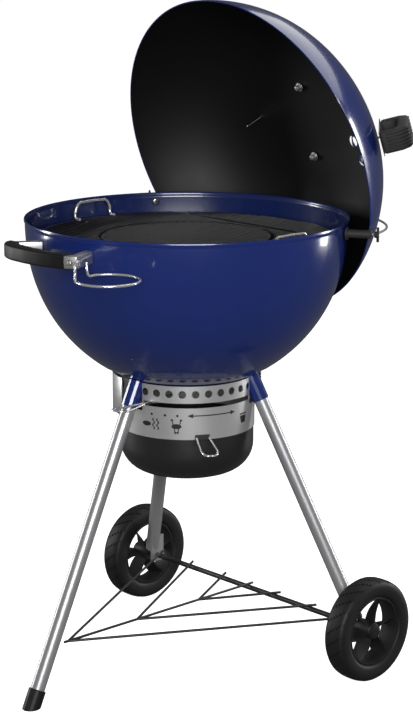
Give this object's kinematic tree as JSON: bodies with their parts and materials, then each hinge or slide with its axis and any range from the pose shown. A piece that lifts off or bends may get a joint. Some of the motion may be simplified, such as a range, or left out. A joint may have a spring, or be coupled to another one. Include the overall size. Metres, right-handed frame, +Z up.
{
  "type": "kettle charcoal grill",
  "caption": "Kettle charcoal grill on a tripod with wheels, its domed lid parked in a side wire holder, hinged cooking grate, bottom rack, sliding vent lever and drop-out ash bucket.",
  "frame": {"origin": "ground level, under the middle of the whole grill with the lid parked beside the bowl", "axes": "+Z up; +X towards the parked lid and the two wheels' side; -X towards the bowl handle and the single foot; the wheels' axle runs along Y"},
  "size_m": [0.7668, 0.649, 1.2],
  "materials": {
    "blue_enamel": "high gloss porcelain enamel",
    "satin_grey": "satin",
    "black_nylon": "semi-matte, glass-filled nylon",
    "wheel_plastic": "matte moulded plastic",
    "black_wire": "satin black coat on steel wire",
    "brushed_steel": "brushed",
    "charcoal_coat": "satin",
    "chrome_wire": "bright plated",
    "plated_grate": "plated rods"
  },
  "bodies": {
    "base": {"bowl": "blue_enamel", "grate_bracket_1": "brushed_steel", "grate_bracket_2": "brushed_steel", "grate_bracket_3": "brushed_steel", "bowl_handle_grip": "black_nylon", "bowl_handle_arm_left": "brushed_steel", "bowl_handle_arm_right": "brushed_steel", "bowl_handle_bolt_left": "brushed_steel", "bowl_handle_bolt_right": "brushed_steel", "tool_ring": "chrome_wire", "lid_holder_wire": "chrome_wire", "lid_holder_tube_left": "black_nylon", "lid_holder_tube_right": "black_nylon", "lid_holder_bolt_left": "chrome_wire", "lid_holder_bolt_right": "chrome_wire", "lid_holder_nut_left": "black_nylon", "lid_holder_nut_right": "black_nylon", "leg_socket_foot": "blue_enamel", "leg_socket_left": "blue_enamel", "leg_socket_right": "blue_enamel", "leg_foot": "satin_grey", "leg_left": "satin_grey", "leg_right": "satin_grey", "foot_cap": "black_nylon", "axle": "black_wire", "axle_shoe_left": "satin_grey", "axle_shoe_right": "satin_grey", "bottom_rack": "black_wire", "ash_collar": "brushed_steel", "collar_guard_left": "brushed_steel", "collar_guard_right": "brushed_steel"},
    "charcoal_grate_body": {"charcoal_grate": "plated_grate"},
    "cooking_grate_body": {"cooking_grate_frame": "plated_grate", "grate_loop_left": "chrome_wire", "grate_loop_right": "chrome_wire"},
    "flap_back_body": {"grate_flap_back": "plated_grate"},
    "flap_front_body": {"grate_flap_front": "plated_grate"},
    "insert_body": {"grate_centre_insert": "plated_grate"},
    "sweep_body": {"vent_lever": "chrome_wire", "sweep_shaft": "brushed_steel", "vent_blades": "brushed_steel"},
    "bucket_body": {"ash_bucket": "charcoal_coat", "bail_bracket": "black_nylon"},
    "bail_body": {"bail_handle": "chrome_wire"},
    "lid_body": {"lid": "blue_enamel", "lid_top_handle": "black_nylon", "lid_side_handle": "black_nylon", "side_heat_shield": "chrome_wire", "lid_handle_bolt_1": "brushed_steel", "lid_handle_bolt_2": "brushed_steel", "thermometer": "chrome_wire"},
    "damper_body": {"lid_damper": "brushed_steel"},
    "wheel_left_body": {"tyre_left": "wheel_plastic", "wheel_left": "wheel_plastic", "hub_cap_left": "wheel_plastic"},
    "wheel_right_body": {"tyre_right": "wheel_plastic", "wheel_right": "wheel_plastic", "hub_cap_right": "wheel_plastic"}
  },
  "joints": [
    {"name": "wheel_left_spin", "type": "hinge", "parent": "base", "child": "wheel_left_body", "pos_m": [0.16313, 0.3025, 0.0938], "axis": [0, 1, 0], "continuous": true},
    {"name": "wheel_right_spin", "type": "hinge", "parent": "base", "child": "wheel_right_body", "pos_m": [0.16313, -0.3025, 0.0938], "axis": [0, 1, 0], "continuous": true},
    {"name": "lid_lift", "type": "slide", "parent": "base", "child": "lid_body", "axis": [0.5145, 0, 0.8575], "range_m": [0, 0.3]},
    {"name": "lid_damper_turn", "type": "hinge", "parent": "lid_body", "child": "damper_body", "pos_m": [0.30902, -0.136, 0.93407], "axis": [0.9409, -0.242, 0.2368], "range_deg": [0, 45]},
    {"name": "vent_sweep", "type": "hinge", "parent": "base", "child": "sweep_body", "pos_m": [0.00183, 0, 0.5082], "axis": [0, 0, 1], "range_deg": [0, 100]},
    {"name": "grate_lift", "type": "slide", "parent": "base", "child": "cooking_grate_body", "axis": [0, 0, 1], "range_m": [0, 0.15]},
    {"name": "flap_back_hinge", "type": "hinge", "parent": "cooking_grate_body", "child": "flap_back_body", "pos_m": [0.16783, 0, 0.7915], "axis": [0, -1, 0], "range_deg": [0, 95]},
    {"name": "flap_front_hinge", "type": "hinge", "parent": "cooking_grate_body", "child": "flap_front_body", "pos_m": [-0.16417, 0, 0.7915], "axis": [0, 1, 0], "range_deg": [0, 95]},
    {"name": "insert_lift", "type": "slide", "parent": "cooking_grate_body", "child": "insert_body", "axis": [0, 0, 1], "range_m": [0, 0.06]},
    {"name": "charcoal_grate_lift", "type": "slide", "parent": "base", "child": "charcoal_grate_body", "axis": [0, 0, 1], "range_m": [0, 0.1]},
    {"name": "bucket_drop", "type": "slide", "parent": "base", "child": "bucket_body", "axis": [0, 0, -1], "range_m": [0, 0.14]},
    {"name": "bail_hinge", "type": "hinge", "parent": "bucket_body", "child": "bail_body", "pos_m": [-0.06197, -0.11051, 0.4525], "axis": [-0.866, 0.5, 0], "range_deg": [0, 60]}
  ]
}
